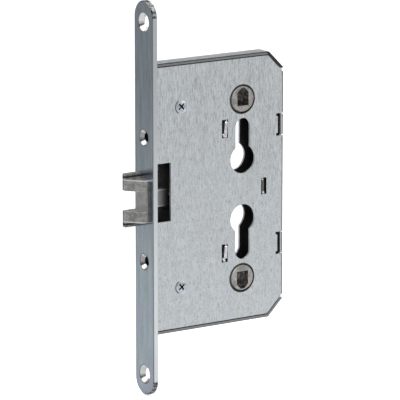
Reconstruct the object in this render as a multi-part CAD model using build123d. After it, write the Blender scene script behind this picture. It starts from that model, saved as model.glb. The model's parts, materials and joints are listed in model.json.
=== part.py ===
from build123d import *
import math
import os

# Mortise door lock with a reversible-type latch, two profile cylinder cut-outs and two
# spindle nuts. Millimetres. X runs into the door from the forend's front face, Y through
# the lock's thickness with the cover plate on -Y, Z up. The origin is the centre of the
# forend's front face.

# ---- driving dimensions ------------------------------------------------------------
# Forend
FOREND_LENGTH = 235.0
FOREND_WIDTH = 20.0
FOREND_THICK = 3.0
FOREND_EDGE_BREAK = 0.4
END_SCREW_SPACING = 210.0
END_SCREW_HOLE_R = 3.25
END_SCREW_SINK_R = 5.75
FIXING_SCREW_SPACING = 74.0
FIXING_SCREW_HOLE_R = 2.75
FIXING_SCREW_SINK_R = 4.9

# Case and cover
BACKSET = 65.0
CASE_DEPTH = 93.5
CASE_HEIGHT = 161.0
CASE_THICK = 12.5
SHEET = 1.5
CORNER_CUT = 10.0
COVER_GAP = 0.6
BEND_R = 2.2
FLANGE_LENGTH = 20.0
FLANGE_CENTRE_Z = 56.0
FLANGE_WIDTH = 6.0

# Profile cylinders, in outline
CYLINDER_R = 8.5
CYLINDER_LEG_W = 10.0
CYLINDER_HEIGHT = 33.0
CYLINDER_SPACING = 36.0
CYLINDER_CLEARANCE = 0.15

# Spindle nuts
NUT_SPACING = 108.0
NUT_R = 8.0
NUT_FLANGE_R = 10.5
SPINDLE_SQUARE = 8.0
SPINDLE_POINT_HEIGHT = 2.8
SPINDLE_POINT_WIDTH = 2.4
NUT_CLEARANCE = 0.25
NUT_ARM_R = 17.0
NUT_ARM_WIDTH = 3.2
NUT_NOSE_R = 2.5
NUT_ARM_NEAR_Y = -3.2
ARM_SLIDE_GAP = 0.4
NUT_SWING_DEG = 38.0
NUT_EDGE_BREAK = 0.6
ARM_CONTACT_GAP = 0.2
WASHER_THICK = 0.3
WASHER_PLAY = 0.05
FLANGE_PLAY = 0.1

# Latch head
LATCH_THROW = 11.0
LATCH_THICK = 13.0
LATCH_FIN_HEIGHT = 32.0
LATCH_FIN_THICK = 2.8
LATCH_BODY_HEIGHT = 26.0
LATCH_BODY_ROUND = 2.6
LATCH_RIDGE_ROUND = 0.35
LATCH_NOTCH = 12.0
LATCH_NOTCH_FLOOR_X = -2.0
LATCH_RIDGE_X = -2.0
LATCH_TIP_LAND = 0.5
LATCH_EDGE_BREAK = 0.35
LATCH_REAR_X = 2.2
LATCH_CLEARANCE = 0.3
TAIL_WIDTH = 10.0
TAIL_END_X = 16.0
TAIL_NEAR_Y = -0.8
TAIL_KEY_X = (8.0, 13.0)
TAIL_KEY_WIDTH = 6.0

# Windows beside the forend, where the latch head retracts
WINDOW_DEPTH = 11.5
COVER_WINDOW_Z = (-13.3, 21.7)
BASE_WINDOW_HEIGHT = 33.6

# Slide: a flat plate next to the base
SLIDE_THICK = 1.7
SLIDE_GAP = 0.05
SLIDE_FRONT_X = 5.0
SLIDE_BAR_X = 30.0
SLIDE_NECK_HEIGHT = 32.0
SLIDE_ARM_WIDTH = 8.5
SLIDE_LUG_THICK = 1.7
SLIDE_LUG_WIDTH = 6.0
SLIDE_LUG_NEAR_Y = -3.2
SLIDE_WINDOW_X = (12.0, 23.0)
SLIDE_WINDOW_Z = (21.0, 44.0)
TONGUE_WIDTH = 5.0
RUNNING_GAP = 0.3

# Key driver, pushed by the cam of either cylinder
DRIVER_X = (57.0, 60.5)
DRIVER_HEIGHT = 11.0
DRIVER_NEAR_Y = -3.5
RIVET_R = 1.0
RIVET_HEAD_R = 1.7
RIVET_HEAD = 0.6

# Springs and their rods
SPRING_ROD_R = 1.1
LATCH_ROD_Y = 0.4
LATCH_ROD_END_X = 50.0
LATCH_SPRING_R = 2.1
LATCH_SPRING_WIRE = 0.8
LATCH_SPRING_TURNS = 12
LATCH_STOP_X = (44.0, 46.5)
LATCH_STOP_HEIGHT = 16.0
RETURN_SPRING_Z = 71.0
RETURN_SPRING_R = 2.1
RETURN_SPRING_WIRE = 0.7
RETURN_SPRING_TURNS = 9
RETURN_ROD_LENGTH = 13.0
RETURN_STOP_X = (84.5, 86.0)
ROD_HOLE_GAP = 0.2

# Cover screws and their posts
COVER_SCREW_X = 22.0
COVER_SCREW_SPACING = 108.0
COVER_SCREW_HEAD_R = 3.75
COVER_SCREW_R = 2.0
COVER_SCREW_LENGTH = 7.5
SCREW_SEAT_GAP = 0.05
POST_R = 3.5
RECESS_SPAN = 4.2
RECESS_SLOT = 0.95
RECESS_DEPTH = 1.0

# Plates staked into the tall slots, which guide the cylinder screws
GUIDE_X = 52.3
GUIDE_Z = 37.5
GUIDE_SLOT = (4.2, 11.0)
GUIDE_THICK = 1.8
GUIDE_HEIGHT = 13.0
GUIDE_TAB_HEIGHT = 6.6
GUIDE_OFFSET_X = 0.75

# Spacer plate near the rear edge
SPACER_X = 80.0
SPACER_SLOT = (3.8, 10.0)
SPACER_THICK = 1.5
SPACER_HEIGHT = 14.0
SPACER_TAB_HEIGHT = 8.0
SPACER_SINK = 0.9

# Notches in the cover's rear edge, where tabs of the rear wall come through
NOTCH_Z = 36.0
NOTCH_HEIGHT = 13.6
NOTCH_DEPTH = 3.6
NOTCH_RELIEF = 1.2
NOTCH_RELIEF_HEIGHT = 1.7
REAR_TAB_HEIGHT = 12.4

# ---- places worked out from the sizes above -----------------------------------------
OUT_Y = CASE_THICK / 2
IN_Y = OUT_Y - SHEET
SLIDE_FAR_Y = IN_Y - SLIDE_GAP
SLIDE_NEAR_Y = SLIDE_FAR_Y - SLIDE_THICK
WASHER_FAR_Y = IN_Y - WASHER_PLAY
FLANGE_HALF = WASHER_FAR_Y - WASHER_THICK - FLANGE_PLAY
NUT_ARM_Y = (NUT_ARM_NEAR_Y, SLIDE_NEAR_Y - ARM_SLIDE_GAP)
HALF_H = CASE_HEIGHT / 2
NUT_Z = NUT_SPACING / 2
CYLINDER_Z = CYLINDER_SPACING / 2
FIXING_Z = FIXING_SCREW_SPACING / 2
END_Z = END_SCREW_SPACING / 2
POST_Z = COVER_SCREW_SPACING / 2
LEG_END = CYLINDER_HEIGHT - CYLINDER_R - CYLINDER_LEG_W / 2
LATCH_HALF_Y = LATCH_THICK / 2
LATCH_BODY_FAR_Y = LATCH_HALF_Y - LATCH_FIN_THICK
WINDOW_X = (FOREND_THICK, FOREND_THICK + WINDOW_DEPTH)
ARM_SWING = math.radians(NUT_SWING_DEG / 2)
ARM_TIP_X = BACKSET - NUT_ARM_R * math.sin(ARM_SWING)
LUG_X = ARM_TIP_X + NUT_NOSE_R + ARM_CONTACT_GAP
LUG_BACK_X = LUG_X + SLIDE_LUG_THICK
TONGUE_END_X = DRIVER_X[1]
UPPER, LOWER = 1, -1


# ---- helpers --------------------------------------------------------------------------
def block(x, y, z):
    """A box from its (low, high) limits along X, Y and Z."""
    size = [pair[1] - pair[0] for pair in (x, y, z)]
    middle = [(pair[0] + pair[1]) / 2 for pair in (x, y, z)]
    return Pos(*middle) * Box(*size)


def around(centre, size):
    """The (low, high) limits of a size about a centre."""
    return (centre - size / 2, centre + size / 2)


def rod_x(radius, x, y, z):
    """A round bar along X between two X values."""
    middle = (x[0] + x[1]) / 2
    return Pos(middle, y, z) * Rot(0, 90, 0) * Cylinder(radius, x[1] - x[0])


def rod_y(radius, x, y, z):
    """A round bar along Y between two Y values."""
    middle = (y[0] + y[1]) / 2
    return Pos(x, middle, z) * Rot(90, 0, 0) * Cylinder(radius, y[1] - y[0])


def cone_x(front_r, back_r, x, y, z):
    """A cone along X, with one radius at each X value."""
    middle = (x[0] + x[1]) / 2
    return Pos(middle, y, z) * Rot(0, 90, 0) * Cone(front_r, back_r, x[1] - x[0])


def cone_y(near_r, far_r, x, y, z):
    """A cone along Y, with one radius at each Y value."""
    middle = (y[0] + y[1]) / 2
    return Pos(x, middle, z) * Rot(-90, 0, 0) * Cone(near_r, far_r, y[1] - y[0])


def plate_xz(points, y):
    """A plate with an X-Z outline between two Y values."""
    outline = make_face(Polyline(*[(x, 0, z) for x, z in points], close=True).edges())
    face = Pos(0, y[0], 0) * outline
    return extrude(face, amount=y[1] - y[0], dir=(0, 1, 0))


def through_sheet(side):
    """Y limits that pass right through one side's sheet: -1 the cover, +1 the base."""
    near, far = IN_Y - 0.5, OUT_Y + 0.5
    return (near, far) if side > 0 else (-far, -near)


def cylinder_cut(side, end, grow=CYLINDER_CLEARANCE):
    """A profile cylinder's outline through one sheet, its leg pointing outward."""
    y = through_sheet(side)
    leg_z = end * (CYLINDER_Z + LEG_END)
    leg_r = CYLINDER_LEG_W / 2 + grow
    leg = sorted((end * CYLINDER_Z, leg_z))
    cut = rod_y(CYLINDER_R + grow, BACKSET, y, end * CYLINDER_Z)
    cut += block(around(BACKSET, 2 * leg_r), y, leg)
    return cut + rod_y(leg_r, BACKSET, y, leg_z)


def sheet_cuts(side):
    """What the cover and the base share: cylinder, nut and staking holes."""
    y = through_sheet(side)
    cuts = []
    for end in (UPPER, LOWER):
        cuts.append(cylinder_cut(side, end))
        cuts.append(rod_y(NUT_R + NUT_CLEARANCE, BACKSET, y, end * NUT_Z))
        guide_z = around(end * GUIDE_Z, GUIDE_SLOT[1])
        cuts.append(block(around(GUIDE_X, GUIDE_SLOT[0]), y, guide_z))
    cuts.append(block(around(SPACER_X, SPACER_SLOT[0]), y, around(0, SPACER_SLOT[1])))
    return cuts


# ---- outer pieces -----------------------------------------------------------------------
def forend():
    thick = (0, FOREND_THICK)
    half = FOREND_LENGTH / 2 - FOREND_WIDTH / 2
    plate = block(thick, around(0, FOREND_WIDTH), (-half, half))
    for end in (UPPER, LOWER):
        plate += rod_x(FOREND_WIDTH / 2, thick, 0, end * half)
    front_rim = plate.faces().sort_by(Axis.X)[0].edges()
    plate = chamfer(front_rim, FOREND_EDGE_BREAK)
    for z, hole_r, sink_r in (
        (END_Z, END_SCREW_HOLE_R, END_SCREW_SINK_R),
        (FIXING_Z, FIXING_SCREW_HOLE_R, FIXING_SCREW_SINK_R),
    ):
        for end in (UPPER, LOWER):
            plate -= rod_x(hole_r, (-1, FOREND_THICK + 1), 0, end * z)
            plate -= cone_x(sink_r, hole_r, (0, sink_r - hole_r), 0, end * z)
    return plate - latch_opening((-1, FOREND_THICK + 1))


def latch_opening(x):
    """The hole the latch head slides in: round near corners for its body, taller at its fin."""
    body_y = (-LATCH_HALF_Y - LATCH_CLEARANCE, LATCH_HALF_Y)
    body = block(x, body_y, around(0, LATCH_BODY_HEIGHT + 2 * LATCH_CLEARANCE))
    near_corners = body.edges().filter_by(Axis.X).sort_by(Axis.Y)[:2]
    body = fillet(near_corners, LATCH_BODY_ROUND + LATCH_CLEARANCE)
    fin_y = (LATCH_BODY_FAR_Y - LATCH_CLEARANCE, LATCH_HALF_Y + LATCH_CLEARANCE)
    return body + block(x, fin_y, around(0, LATCH_FIN_HEIGHT + 2 * LATCH_CLEARANCE))


def case_outline(inset=0.0):
    """The case's outline from the forend's back, its two rear corners cut at 45 degrees."""
    top = HALF_H - inset
    rear = CASE_DEPTH - inset
    cut = CORNER_CUT + inset * (math.sqrt(2) - 2)
    upper = [(FOREND_THICK, top), (rear - cut, top), (rear, top - cut)]
    return upper + [(x, -z) for x, z in reversed(upper)]


def case_base():
    """A tray: back sheet, walls on four sides, flanges behind the forend."""
    tray = plate_xz(case_outline(), (-OUT_Y, OUT_Y))
    back_rim = tray.faces().sort_by(Axis.Y)[-1].edges().sort_by(Axis.X)[1:]
    tray = fillet(back_rim, BEND_R)
    inner = case_outline(SHEET)
    inner = [(x - 1 if x == FOREND_THICK else x, z) for x, z in inner]
    tray -= plate_xz(inner, (-OUT_Y - 1, IN_Y))
    # The rear wall stops under the cover, but for its two tabs.
    wall_top = (-OUT_Y - 1, -IN_Y)
    rear_x = (CASE_DEPTH - SHEET - 0.5, CASE_DEPTH + 1)
    rear_half = HALF_H - CORNER_CUT - COVER_GAP
    keep = [around(end * NOTCH_Z, REAR_TAB_HEIGHT) for end in (LOWER, UPPER)]
    lows = [-rear_half, keep[0][1], keep[1][1]]
    highs = [keep[0][0], keep[1][0], rear_half]
    for low, high in zip(lows, highs):
        tray -= block(rear_x, wall_top, (low, high))
    for end in (UPPER, LOWER):
        flange_x = (FOREND_THICK, FOREND_THICK + SHEET)
        flange_y = (IN_Y - FLANGE_WIDTH, IN_Y)
        tray += block(flange_x, flange_y, around(end * FLANGE_CENTRE_Z, FLANGE_LENGTH))
    for cut in sheet_cuts(1):
        tray -= cut
    window_x = (WINDOW_X[0] - 1, WINDOW_X[1])
    return tray - block(window_x, through_sheet(1), around(0, BASE_WINDOW_HEIGHT))


def cover_outline():
    """Inside the walls by a gap, but level with the case at the rear."""
    inset = SHEET + COVER_GAP
    top = HALF_H - inset
    slant = CASE_DEPTH - CORNER_CUT + HALF_H - inset * math.sqrt(2)
    upper = [(FOREND_THICK, top), (slant - top, top), (CASE_DEPTH, slant - CASE_DEPTH)]
    return upper + [(x, -z) for x, z in reversed(upper)]


def case_cover():
    y = through_sheet(-1)
    cover = plate_xz(cover_outline(), (-OUT_Y, -IN_Y))
    for cut in sheet_cuts(-1):
        cover -= cut
    cover -= block((WINDOW_X[0] - 1, WINDOW_X[1]), y, COVER_WINDOW_Z)
    notch_x = (CASE_DEPTH - NOTCH_DEPTH, CASE_DEPTH + 1)
    relief_x = (notch_x[0] - NOTCH_RELIEF, notch_x[0] + 1)
    for end in (UPPER, LOWER):
        screw_z = end * POST_Z
        sink = COVER_SCREW_HEAD_R - SHEET
        cover -= cone_y(COVER_SCREW_HEAD_R, sink, COVER_SCREW_X, (-OUT_Y, -IN_Y), screw_z)
        cover -= block(notch_x, y, around(end * NOTCH_Z, NOTCH_HEIGHT))
        for side in (UPPER, LOWER):
            relief = end * NOTCH_Z + side * (NOTCH_HEIGHT - NOTCH_RELIEF_HEIGHT) / 2
            cover -= block(relief_x, y, around(relief, NOTCH_RELIEF_HEIGHT))
    return cover


def cover_post(end):
    post = rod_y(POST_R, COVER_SCREW_X, (-IN_Y, IN_Y), end * POST_Z)
    hole_y = (-IN_Y - 1, -OUT_Y + COVER_SCREW_LENGTH + 0.5)
    return post - rod_y(COVER_SCREW_R + SCREW_SEAT_GAP, COVER_SCREW_X, hole_y, end * POST_Z)


def cover_screw(end):
    z = end * POST_Z
    rim = COVER_SCREW_HEAD_R - SCREW_SEAT_GAP
    head_y = (-OUT_Y, -IN_Y)
    screw = cone_y(rim, rim - SHEET, COVER_SCREW_X, head_y, z)
    shank_y = (head_y[1], -OUT_Y + COVER_SCREW_LENGTH)
    screw += rod_y(COVER_SCREW_R, COVER_SCREW_X, shank_y, z)
    recess_y = around(-OUT_Y, 2 * RECESS_DEPTH)
    for turn in (45, 135):
        slot = Box(RECESS_SPAN, recess_y[1] - recess_y[0], RECESS_SLOT)
        screw -= Pos(COVER_SCREW_X, -OUT_Y, z) * Rot(0, turn, 0) * slot
    return screw


def screw_guide(end):
    """A plate across the case, bored for the cylinder screw, with a tab in each slot."""
    x = around(GUIDE_X + GUIDE_OFFSET_X, GUIDE_THICK)
    plate = block(x, (-IN_Y, IN_Y), around(end * GUIDE_Z, GUIDE_HEIGHT))
    plate += block(x, (-OUT_Y, OUT_Y), around(end * GUIDE_Z, GUIDE_TAB_HEIGHT))
    bore_x = (x[0] - 1, x[1] + 1)
    return plate - rod_x(FIXING_SCREW_HOLE_R, bore_x, 0, end * FIXING_Z)


def rear_spacer():
    x = around(SPACER_X, SPACER_THICK)
    plate = block(x, (-IN_Y, IN_Y), around(0, SPACER_HEIGHT))
    tab_y = (-OUT_Y + SPACER_SINK, OUT_Y - SPACER_SINK)
    return plate + block(x, tab_y, around(0, SPACER_TAB_HEIGHT))


# ---- latch train --------------------------------------------------------------------------
def latch_head():
    """A bevelled body with a middle notch, a taller fin on its far side, and a tail."""
    tip_x = -LATCH_THROW
    outline = [
        (tip_x, LATCH_BODY_FAR_Y),
        (tip_x, LATCH_BODY_FAR_Y - LATCH_TIP_LAND),
        (LATCH_RIDGE_X, -LATCH_HALF_Y),
        (LATCH_REAR_X, -LATCH_HALF_Y),
        (LATCH_REAR_X, LATCH_BODY_FAR_Y),
    ]
    face = make_face(Polyline(*[(x, y, 0) for x, y in outline], close=True).edges())
    low = Pos(0, 0, -LATCH_BODY_HEIGHT / 2) * face
    body = extrude(low, amount=LATCH_BODY_HEIGHT, dir=(0, 0, 1))
    near_corners = [
        edge
        for edge in body.edges().filter_by(Axis.X)
        if edge.center().Y < -LATCH_HALF_Y + 0.01
    ]
    body = fillet(near_corners, LATCH_BODY_ROUND)
    ridge = [
        edge
        for edge in body.edges().filter_by(Axis.Z)
        if abs(edge.center().X - LATCH_RIDGE_X) < 0.01
    ]
    body = fillet(ridge, LATCH_RIDGE_ROUND)
    fin_y = (LATCH_BODY_FAR_Y, LATCH_HALF_Y)
    fin = block((tip_x, LATCH_REAR_X), fin_y, around(0, LATCH_FIN_HEIGHT))
    fin = chamfer(fin.faces().sort_by(Axis.X)[0].edges(), LATCH_EDGE_BREAK)
    head = body + fin
    notch_x = (tip_x - 1, LATCH_NOTCH_FLOOR_X)
    head -= block(notch_x, (-LATCH_THICK, LATCH_THICK), around(0, LATCH_NOTCH))
    tail_y = (TAIL_NEAR_Y, SLIDE_NEAR_Y)
    head += block((LATCH_REAR_X - 1, TAIL_END_X), tail_y, around(0, TAIL_WIDTH))
    key_y = (SLIDE_NEAR_Y - 1, SLIDE_FAR_Y)
    head += block(TAIL_KEY_X, key_y, around(0, TAIL_KEY_WIDTH))
    return head - latch_rod(grow=0.02)


def latch_slide():
    """One flat plate with a bar up and down the lock, an arm to each nut and a tongue."""
    y = (SLIDE_NEAR_Y, SLIDE_FAR_Y)
    arm_top = RETURN_SPRING_Z + SLIDE_ARM_WIDTH / 2
    half_neck = SLIDE_NECK_HEIGHT / 2
    plate = block((SLIDE_FRONT_X, SLIDE_BAR_X), y, (-arm_top, arm_top))
    plate += block((SLIDE_BAR_X - 1, TONGUE_END_X), y, around(0, TONGUE_WIDTH))
    slot_r = POST_R + RUNNING_GAP
    for end in (UPPER, LOWER):
        arm_z = around(end * RETURN_SPRING_Z, SLIDE_ARM_WIDTH)
        plate += block((SLIDE_BAR_X - 1, LUG_BACK_X), y, arm_z)
        lug_z = around(end * RETURN_SPRING_Z, SLIDE_LUG_WIDTH)
        lug = block((LUG_X, LUG_BACK_X), (SLIDE_LUG_NEAR_Y, y[1]), lug_z)
        lug -= rod_x(SPRING_ROD_R + 0.02, (LUG_X - 1, LUG_BACK_X + 1), 0, lug.center().Z)
        plate += lug
        slot_x = (COVER_SCREW_X - LATCH_THROW, COVER_SCREW_X)
        slot_y = (y[0] - 1, y[1] + 1)
        plate -= block(slot_x, slot_y, around(end * POST_Z, 2 * slot_r))
        for x in slot_x:
            plate -= rod_y(slot_r, x, slot_y, end * POST_Z)
        window_z = sorted(end * z for z in SLIDE_WINDOW_Z)
        plate -= block(SLIDE_WINDOW_X, slot_y, window_z)
        notch_z = sorted((end * half_neck, end * (half_neck + 3)))
        plate -= block((SLIDE_FRONT_X - 1, SLIDE_WINDOW_X[0]), slot_y, notch_z)
    key_x = (TAIL_KEY_X[0] - 0.05, TAIL_KEY_X[1] + 0.05)
    key_hole = block(key_x, (y[0] - 1, y[1] + 1), around(0, TAIL_KEY_WIDTH + 0.1))
    plate -= key_hole
    for z in driver_rivet_z():
        plate -= rod_y(RIVET_R + 0.02, driver_middle_x(), (y[0] - 1, y[1] + 1), z)
    return plate


def driver_middle_x():
    return (DRIVER_X[0] + DRIVER_X[1]) / 2


def driver_rivet_z():
    return (-TONGUE_WIDTH / 4 - 0.1, TONGUE_WIDTH / 4 + 0.1)


def key_driver():
    block_y = (DRIVER_NEAR_Y, SLIDE_NEAR_Y)
    driver = block(DRIVER_X, block_y, around(0, DRIVER_HEIGHT))
    driver = fillet(driver.edges().filter_by(Axis.Y), 0.8)
    for z in driver_rivet_z():
        driver -= rod_y(RIVET_R + 0.02, driver_middle_x(), (block_y[0] - 1, block_y[1] + 1), z)
    return driver


def key_driver_rivets():
    x = driver_middle_x()
    rivets = []
    for z in driver_rivet_z():
        shank = rod_y(RIVET_R, x, (DRIVER_NEAR_Y - RIVET_HEAD, SLIDE_FAR_Y), z)
        head_y = (DRIVER_NEAR_Y - RIVET_HEAD, DRIVER_NEAR_Y)
        rivets.append(shank + rod_y(min(RIVET_HEAD_R, abs(z) - 0.1), x, head_y, z))
    return Compound(children=rivets)


def latch_rod(grow=0.0):
    x = (TAIL_END_X - 4, LATCH_ROD_END_X)
    return rod_x(SPRING_ROD_R + grow, x, LATCH_ROD_Y, 0)


def latch_spring_stop():
    """A post on the base that straddles the tongue and guides the spring's rod."""
    stop = block(LATCH_STOP_X, (-IN_Y, IN_Y), around(0, LATCH_STOP_HEIGHT))
    wide = (LATCH_STOP_X[0] - 1, LATCH_STOP_X[1] + 1)
    gate_y = (SLIDE_NEAR_Y - RUNNING_GAP, IN_Y + 1)
    stop -= block(wide, gate_y, around(0, TONGUE_WIDTH + 2 * RUNNING_GAP))
    return stop - rod_x(SPRING_ROD_R + ROD_HOLE_GAP, wide, LATCH_ROD_Y, 0)


def coil_spring(x, y, z, radius, wire, turns):
    """A compression spring along X, its wire a helix that stays inside the X limits."""
    length = x[1] - x[0] - wire - 0.1
    path = Helix(pitch=length / turns, height=length, radius=radius)
    section = Plane(origin=path @ 0, z_dir=path % 0) * Circle(wire / 2)
    coil = sweep(section, path=path, is_frenet=True)
    return Pos(x[0] + wire / 2 + 0.05, y, z) * Rot(0, 90, 0) * coil


def return_rod(end):
    x = (LUG_X, LUG_X + RETURN_ROD_LENGTH)
    return rod_x(SPRING_ROD_R, x, 0, end * RETURN_SPRING_Z)


def return_bracket(end):
    z = around(end * RETURN_SPRING_Z, SLIDE_LUG_WIDTH)
    bracket = block(RETURN_STOP_X, (-IN_Y, IN_Y), z)
    hole_x = (RETURN_STOP_X[0] - 1, RETURN_STOP_X[1] + 1)
    return bracket - rod_x(SPRING_ROD_R + ROD_HOLE_GAP, hole_x, 0, end * RETURN_SPRING_Z)


# ---- spindle nuts ---------------------------------------------------------------------------
def spindle_hole(end):
    """The square hole, with a blunt point on its outward side."""
    half = SPINDLE_SQUARE / 2
    tip = SPINDLE_POINT_WIDTH / 2
    tip_z = NUT_Z + half + SPINDLE_POINT_HEIGHT
    outline = [
        (BACKSET - half, NUT_Z - half),
        (BACKSET + half, NUT_Z - half),
        (BACKSET + half, NUT_Z + half),
        (BACKSET + tip, tip_z),
        (BACKSET - tip, tip_z),
        (BACKSET - half, NUT_Z + half),
    ]
    return plate_xz([(x, end * z) for x, z in outline], (-OUT_Y - 1, OUT_Y + 1))


def spindle_nut(end):
    """A hub through both sheets, a flange between them, and an arm that leans forward."""
    z = end * NUT_Z
    nut = rod_y(NUT_R, BACKSET, (-OUT_Y, OUT_Y), z)
    nut = chamfer(nut.edges().filter_by(GeomType.CIRCLE), NUT_EDGE_BREAK)
    nut += rod_y(NUT_FLANGE_R, BACKSET, (-FLANGE_HALF, FLANGE_HALF), z)
    tip_z = z + end * NUT_ARM_R * math.cos(ARM_SWING)
    nut += rod_y(NUT_NOSE_R, ARM_TIP_X, NUT_ARM_Y, tip_z)
    thick = NUT_ARM_Y[1] - NUT_ARM_Y[0]
    middle_y = (NUT_ARM_Y[0] + NUT_ARM_Y[1]) / 2
    shaft = Box(NUT_ARM_WIDTH, thick, NUT_ARM_R)
    centre = Pos((BACKSET + ARM_TIP_X) / 2, middle_y, (z + tip_z) / 2)
    nut += centre * Rot(0, -end * NUT_SWING_DEG / 2, 0) * shaft
    return nut - spindle_hole(end)


def nut_washer(end):
    y = (WASHER_FAR_Y - WASHER_THICK, WASHER_FAR_Y)
    washer = rod_y(NUT_FLANGE_R, BACKSET, y, end * NUT_Z)
    return washer - rod_y(NUT_R + NUT_CLEARANCE, BACKSET, (y[0] - 1, y[1] + 1), end * NUT_Z)


# ---- write every piece ------------------------------------------------------------------------
def all_parts():
    latch_spring_x = (TAIL_END_X, LATCH_STOP_X[0])
    return_spring_x = (LUG_BACK_X, RETURN_STOP_X[0])
    latch_wire = (LATCH_SPRING_R, LATCH_SPRING_WIRE, LATCH_SPRING_TURNS)
    return_wire = (RETURN_SPRING_R, RETURN_SPRING_WIRE, RETURN_SPRING_TURNS)
    parts = {
        "forend": forend(),
        "case_base": case_base(),
        "case_cover": case_cover(),
        "rear_spacer": rear_spacer(),
        "latch_head": latch_head(),
        "latch_slide": latch_slide(),
        "latch_spring": coil_spring(latch_spring_x, LATCH_ROD_Y, 0, *latch_wire),
        "latch_spring_rod": latch_rod(),
        "latch_spring_stop": latch_spring_stop(),
        "key_driver": key_driver(),
        "key_driver_rivets": key_driver_rivets(),
    }
    for word, end in (("upper", UPPER), ("lower", LOWER)):
        parts[f"{word}_nut"] = spindle_nut(end)
        parts[f"{word}_nut_washer"] = nut_washer(end)
        spring_z = end * RETURN_SPRING_Z
        spring = coil_spring(return_spring_x, 0, spring_z, *return_wire)
        parts[f"{word}_return_spring"] = spring
        parts[f"{word}_spring_rod"] = return_rod(end)
        parts[f"{word}_spring_bracket"] = return_bracket(end)
        parts[f"{word}_cover_post"] = cover_post(end)
        parts[f"{word}_cover_screw"] = cover_screw(end)
        parts[f"{word}_screw_guide"] = screw_guide(end)
    return parts


os.makedirs("parts", exist_ok=True)
for name, shape in all_parts().items():
    export_step(shape, f"parts/{name}.step")
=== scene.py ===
import json
import math

import bmesh
import bpy
import numpy as np
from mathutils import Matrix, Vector


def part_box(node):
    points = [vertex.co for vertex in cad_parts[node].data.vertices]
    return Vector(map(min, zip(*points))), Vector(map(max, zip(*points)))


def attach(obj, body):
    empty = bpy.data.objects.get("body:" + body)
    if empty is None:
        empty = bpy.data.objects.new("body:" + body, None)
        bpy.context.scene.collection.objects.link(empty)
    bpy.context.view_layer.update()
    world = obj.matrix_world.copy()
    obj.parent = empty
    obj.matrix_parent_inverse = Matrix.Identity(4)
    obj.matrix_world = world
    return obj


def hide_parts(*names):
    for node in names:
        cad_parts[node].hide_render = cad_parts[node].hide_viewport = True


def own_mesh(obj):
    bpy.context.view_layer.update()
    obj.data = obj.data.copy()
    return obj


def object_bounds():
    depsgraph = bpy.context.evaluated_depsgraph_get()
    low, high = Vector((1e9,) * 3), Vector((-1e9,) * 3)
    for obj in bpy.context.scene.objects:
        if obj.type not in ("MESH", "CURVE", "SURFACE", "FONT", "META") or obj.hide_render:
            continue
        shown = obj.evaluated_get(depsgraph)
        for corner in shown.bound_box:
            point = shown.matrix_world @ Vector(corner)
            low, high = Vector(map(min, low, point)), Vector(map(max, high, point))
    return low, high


# Looks of a mortise lock. Metres. X runs into the door from the forend's front face,
# Y through the lock away from its cover plate, Z up the forend.

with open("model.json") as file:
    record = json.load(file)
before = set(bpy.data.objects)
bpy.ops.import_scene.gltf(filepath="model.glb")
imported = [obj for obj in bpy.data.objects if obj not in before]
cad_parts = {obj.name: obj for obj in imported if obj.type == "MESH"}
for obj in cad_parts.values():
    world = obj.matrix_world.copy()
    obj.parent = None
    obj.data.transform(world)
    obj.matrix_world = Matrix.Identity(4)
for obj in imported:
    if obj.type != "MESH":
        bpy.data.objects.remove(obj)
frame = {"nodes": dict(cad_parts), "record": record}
cad_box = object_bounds()
NODES = frame["nodes"]
MM = 0.001

# Sizes and places that the CAD boxes don't give
SHEET = 1.5 * MM
CORNER_CUT = 10.0 * MM
BACKSET = 65.0 * MM
NUT_Z = 54.0 * MM
END_Z = 105.0 * MM
FIXING_Z = 37.0 * MM
GUIDE_SLOT_X = 52.3 * MM
GUIDE_Z = 37.5 * MM
GUIDE_SLOT_HALF = (2.3 * MM, 5.7 * MM)
SPACER_SLOT_X = 80.0 * MM
SPACER_SLOT_HALF = (2.1 * MM, 5.2 * MM)
SCREW_X = 22.0 * MM
SCREW_Z = 54.0 * MM
NOTCH_HALF_Z = 6.0 * MM
NOTCH_FLOOR_X = -2.0 * MM
LATCH_BODY_HALF_Z = 13.0 * MM
LATCH_NEAR_Y = -6.5 * MM
LATCH_RIDGE_X = -2.0 * MM
LATCH_REAR_X = 2.2 * MM

# Share of its length that each spring keeps when the latch is in
LATCH_SPRING_KEEP = 0.607
RETURN_SPRING_KEEP = 0.466

# Places worked out from the CAD boxes. A mask reaches a skin's thickness past its face.
SKIN = 0.06 * MM
BASE_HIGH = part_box("case_base")[1]
FOREND_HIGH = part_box("forend")[1]
OUT_Y = BASE_HIGH[1]
INNER_HALF_Y = OUT_Y - SHEET + SKIN
INNER_HALF_Z = BASE_HIGH[2] - SHEET
INNER_REAR_X = BASE_HIGH[0] - SHEET + SKIN
INNER_SLANT = BASE_HIGH[0] - CORNER_CUT + BASE_HIGH[2] - SHEET * math.sqrt(2)
FOREND_HALF_Y = FOREND_HIGH[1]
FOREND_ROUND_Z = FOREND_HIGH[2] - FOREND_HALF_Y


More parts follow.
